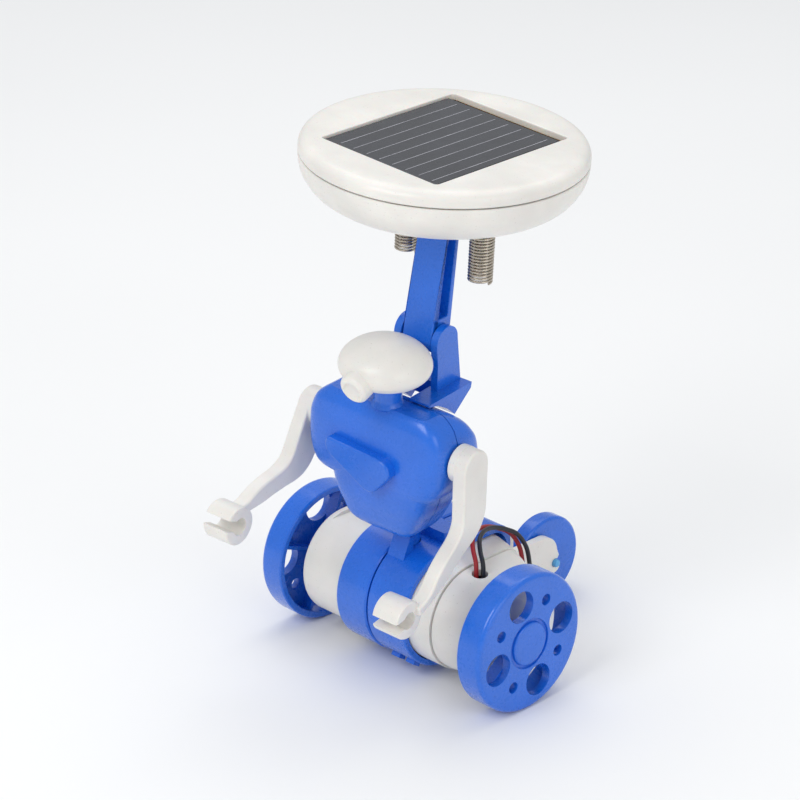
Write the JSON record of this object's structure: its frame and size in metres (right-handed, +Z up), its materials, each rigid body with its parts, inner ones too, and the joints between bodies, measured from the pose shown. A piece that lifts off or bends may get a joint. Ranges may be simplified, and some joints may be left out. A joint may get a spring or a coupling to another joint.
{
  "type": "two wheel robot car",
  "caption": "Toy robot on a geared two wheel chassis with a tail wheel, swinging clip arms, a turning head and a round solar panel on a tilting post.",
  "frame": {"origin": "middle of the overall box, on the ground that the wheels stand on", "axes": "+Z up, the robot faces -Y, +X is the robot's left hand side, along the main axle"},
  "size_m": [0.0742, 0.1038, 0.1325],
  "materials": {
    "blue_plastic": "glossy moulded blue plastic",
    "white_plastic": "satin off-white moulded plastic",
    "gear_plastic": "natural acetal",
    "steel": "plated steel",
    "spring_steel": "nickel plated coil wire",
    "brass": "turned brass",
    "copper_strand": "tinned copper strand",
    "solar_cell": "dark resin covered silicon with pale fingers",
    "board": "gold brown laminate board",
    "red_insulation": "red wire insulation",
    "black_insulation": "black wire insulation"
  },
  "bodies": {
    "chassis": {"housing_left": "white_plastic", "housing_right": "white_plastic", "housing_end_cap": "white_plastic", "ring_clamp_left": "blue_plastic", "ring_clamp_right": "blue_plastic", "tail_arm": "white_plastic", "tail_screw_lower": "steel", "tail_screw_upper": "steel", "rear_axle": "blue_plastic", "gear_frame": "gear_plastic", "idler_pin": "steel", "motor_can": "steel", "lead_red": "red_insulation", "lead_black": "black_insulation", "lead_tip_red": "copper_strand", "lead_tip_black": "copper_strand"},
    "drive": {"wheel_left": "blue_plastic", "wheel_right": "blue_plastic", "main_axle": "steel", "axle_spacer_left": "gear_plastic", "axle_spacer_right": "gear_plastic", "axle_gear": "gear_plastic"},
    "idler": {"idler_gear": "gear_plastic"},
    "rotor": {"motor_shaft": "steel", "motor_pinion": "brass"},
    "tail_wheel": {"rear_wheel": "blue_plastic"},
    "torso": {"torso_front": "blue_plastic", "torso_back": "blue_plastic", "waist_post": "blue_plastic", "clevis_bracket": "blue_plastic", "clevis_pin": "steel"},
    "left_arm": {"arm_left": "white_plastic"},
    "right_arm": {"arm_right": "white_plastic"},
    "head_body": {"head": "white_plastic"},
    "post": {"panel_post": "blue_plastic"},
    "panel": {"solar_dish": "white_plastic", "solar_top_shell": "white_plastic", "solar_cell_board": "board", "solar_cell": "solar_cell", "spring_terminal_left": "spring_steel", "spring_terminal_right": "spring_steel", "terminal_screw_left": "steel", "terminal_screw_right": "steel"}
  },
  "joints": [
    {"name": "drive_spin", "type": "hinge", "parent": "chassis", "child": "drive", "pos_m": [-0.00059, -0.00186, 0.017], "axis": [1, 0, 0], "continuous": true},
    {"name": "idler_spin", "type": "hinge", "parent": "chassis", "child": "idler", "pos_m": [-0.00059, 0.00363, 0.0203], "axis": [1, 0, 0], "continuous": true},
    {"name": "motor_spin", "type": "hinge", "parent": "chassis", "child": "rotor", "pos_m": [-0.00059, 0.00864, 0.017], "axis": [1, 0, 0], "continuous": true},
    {"name": "tail_wheel_spin", "type": "hinge", "parent": "chassis", "child": "tail_wheel", "pos_m": [-0.00059, 0.04094, 0.011], "axis": [1, 0, 0], "continuous": true},
    {"name": "waist_turn", "type": "hinge", "parent": "chassis", "child": "torso", "pos_m": [-0.00059, -0.00486, 0.03], "axis": [0.061, 0, 0.9981], "range_deg": [-15, 15]},
    {"name": "left_arm_swing", "type": "hinge", "parent": "torso", "child": "left_arm", "pos_m": [0.02196, -0.00917, 0.05988], "axis": [-0.9907, -0.1219, 0.0606], "range_deg": [-12, 140]},
    {"name": "right_arm_swing", "type": "hinge", "parent": "torso", "child": "right_arm", "pos_m": [-0.02064, -0.01441, 0.06248], "axis": [-0.9907, -0.1219, 0.0606], "range_deg": [-40, 110]},
    {"name": "head_turn", "type": "hinge", "parent": "torso", "child": "head_body", "pos_m": [0.00357, -0.01538, 0.07683], "axis": [0.061, 0, 0.9981], "range_deg": [-40, 40]},
    {"name": "panel_tilt", "type": "hinge", "parent": "torso", "child": "post", "pos_m": [0.00242, -0.00248, 0.08392], "axis": [-0.9907, -0.1219, 0.0606], "range_deg": [-20, 25]},
    {"name": "panel_turn", "type": "hinge", "parent": "post", "child": "panel", "pos_m": [0.00396, 0.0009, 0.11588], "axis": [0.061, 0, 0.9981], "range_deg": [-90, 90]}
  ],
  "couplings": [
    {"joint": "idler_spin", "follows": "drive_spin", "ratio": -3},
    {"joint": "motor_spin", "follows": "drive_spin", "ratio": 8.25}
  ]
}
